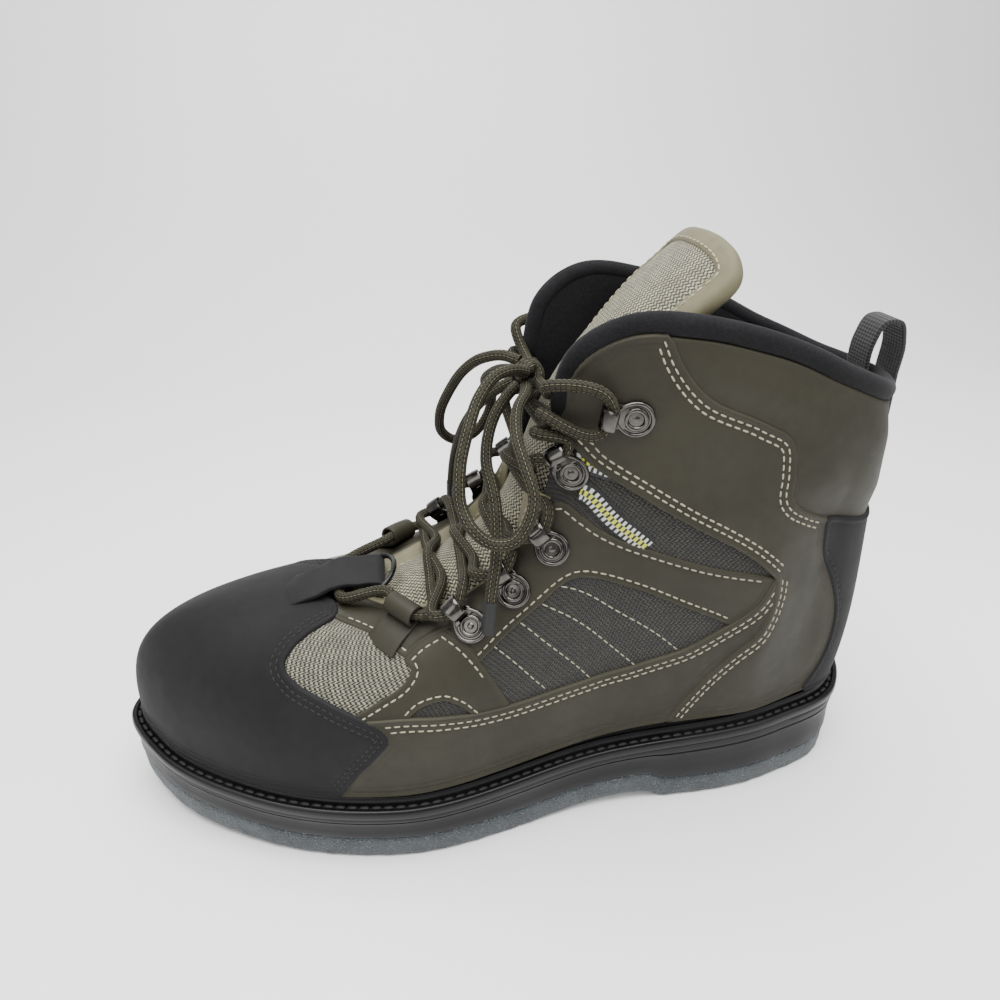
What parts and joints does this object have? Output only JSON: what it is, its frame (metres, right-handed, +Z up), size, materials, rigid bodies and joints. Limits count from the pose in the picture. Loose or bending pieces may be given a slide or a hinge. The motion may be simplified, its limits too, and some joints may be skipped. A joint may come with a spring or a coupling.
{
  "type": "wading boot",
  "caption": "Lace-up ankle-high wading boot for the left foot with a thick felt sole, padded collar, overlaid synthetic upper and open mesh windows.",
  "frame": {"origin": "on the floor under the middle of the heel, 45 mm ahead of the back of the sole", "axes": "+X towards the toe, +Y towards the outer side of the left foot, +Z up from the floor"},
  "size_m": [0.315, 0.1162, 0.2208],
  "materials": {
    "felt": "dense dark blue-grey felt with pale flecks",
    "black_rubber": "smooth satin black",
    "welt_rubber": "satin black with a stitched groove",
    "dark_lining": "dark soft lining",
    "light_mesh": "open grey-green woven mesh",
    "olive_synthetic": "matte olive-grey coated synthetic with cream stitching",
    "black_nubuck": "matte black nubuck",
    "black_padding": "black knitted padding",
    "grey_tongue_mesh": "light grey woven mesh",
    "gunmetal": "polished dark gunmetal",
    "black_webbing": "black woven webbing",
    "black_ring": "satin black",
    "olive_cord": "round braided olive cord with pale flecks"
  },
  "bodies": {
    "root": {"outsole_felt": "felt", "midsole": "black_rubber", "welt": "welt_rubber", "insole": "dark_lining", "upper_shell": "light_mesh", "toe_cap": "black_nubuck", "band_out": "olive_synthetic", "band_in": "olive_synthetic", "strap_out": "olive_synthetic", "strap_in": "olive_synthetic", "saddle_out": "olive_synthetic", "saddle_in": "olive_synthetic", "shaft_out": "olive_synthetic", "shaft_in": "olive_synthetic", "collar_pad": "olive_synthetic", "backstay": "black_padding", "collar_binding": "black_padding", "tongue": "grey_tongue_mesh", "lace_fold_out": "olive_synthetic", "lace_loop_1_out": "gunmetal", "lace_loop_2_out": "gunmetal", "lace_loop_3_out": "gunmetal", "ankle_hook_out": "gunmetal", "top_hook_out": "gunmetal", "lace_fold_in": "olive_synthetic", "lace_loop_1_in": "gunmetal", "lace_loop_2_in": "gunmetal", "lace_loop_3_in": "gunmetal", "ankle_hook_in": "gunmetal", "top_hook_in": "gunmetal", "pull_loop": "black_webbing", "ring_tab": "black_nubuck", "strap_ring": "black_ring", "laces": "olive_cord", "knot": "olive_cord", "lace_loop_out": "olive_cord", "lace_loop_in": "olive_cord", "lace_end_out": "olive_cord", "lace_end_in": "olive_cord"}
  },
  "joints": []
}
